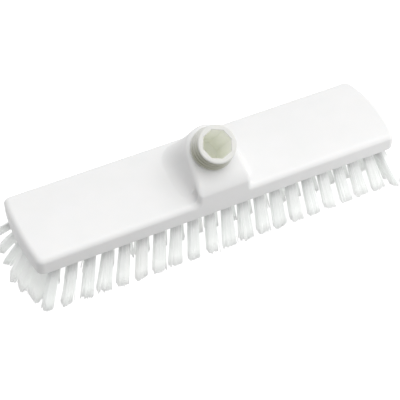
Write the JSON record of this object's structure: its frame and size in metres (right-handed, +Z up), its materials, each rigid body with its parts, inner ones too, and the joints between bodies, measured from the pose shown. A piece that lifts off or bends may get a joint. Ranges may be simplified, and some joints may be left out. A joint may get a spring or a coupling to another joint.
{
  "type": "floor scrub brush",
  "caption": "Floor scrub brush head: crowned white block with a leaning socket boss, an ivory collar with an octagonal handle opening, and fanned white bristle tufts.",
  "frame": {"origin": "on the floor, at the bottom centre of the bounding box, 4 mm behind the middle of the block, because the left end's tufts reach further back than any reach forward", "axes": "+X along the block, +Y across it to the back, away from the side that the handle socket leans to, +Z up"},
  "size_m": [0.3222, 0.0954, 0.1089],
  "materials": {
    "white_plastic": "smooth moulded, satin",
    "ivory_plastic": "smooth moulded, satin",
    "bristle": "drawn filament, slightly translucent"
  },
  "bodies": {
    "root": {"block": "white_plastic", "socket_collar": "ivory_plastic", "bristle_end_left": "bristle", "bristle_end_right": "bristle", "bristle_strip_01": "bristle", "bristle_strip_02": "bristle", "bristle_strip_03": "bristle", "bristle_strip_04": "bristle", "bristle_strip_05": "bristle", "bristle_strip_06": "bristle", "bristle_strip_07": "bristle", "bristle_strip_08": "bristle", "bristle_strip_09": "bristle", "bristle_strip_10": "bristle", "bristle_strip_11": "bristle", "bristle_strip_12": "bristle", "bristle_strip_13": "bristle", "bristle_strip_14": "bristle", "bristle_strip_15": "bristle", "bristle_strip_16": "bristle", "bristle_strip_17": "bristle", "bristle_strip_18": "bristle", "bristle_strip_19": "bristle"}
  },
  "joints": []
}
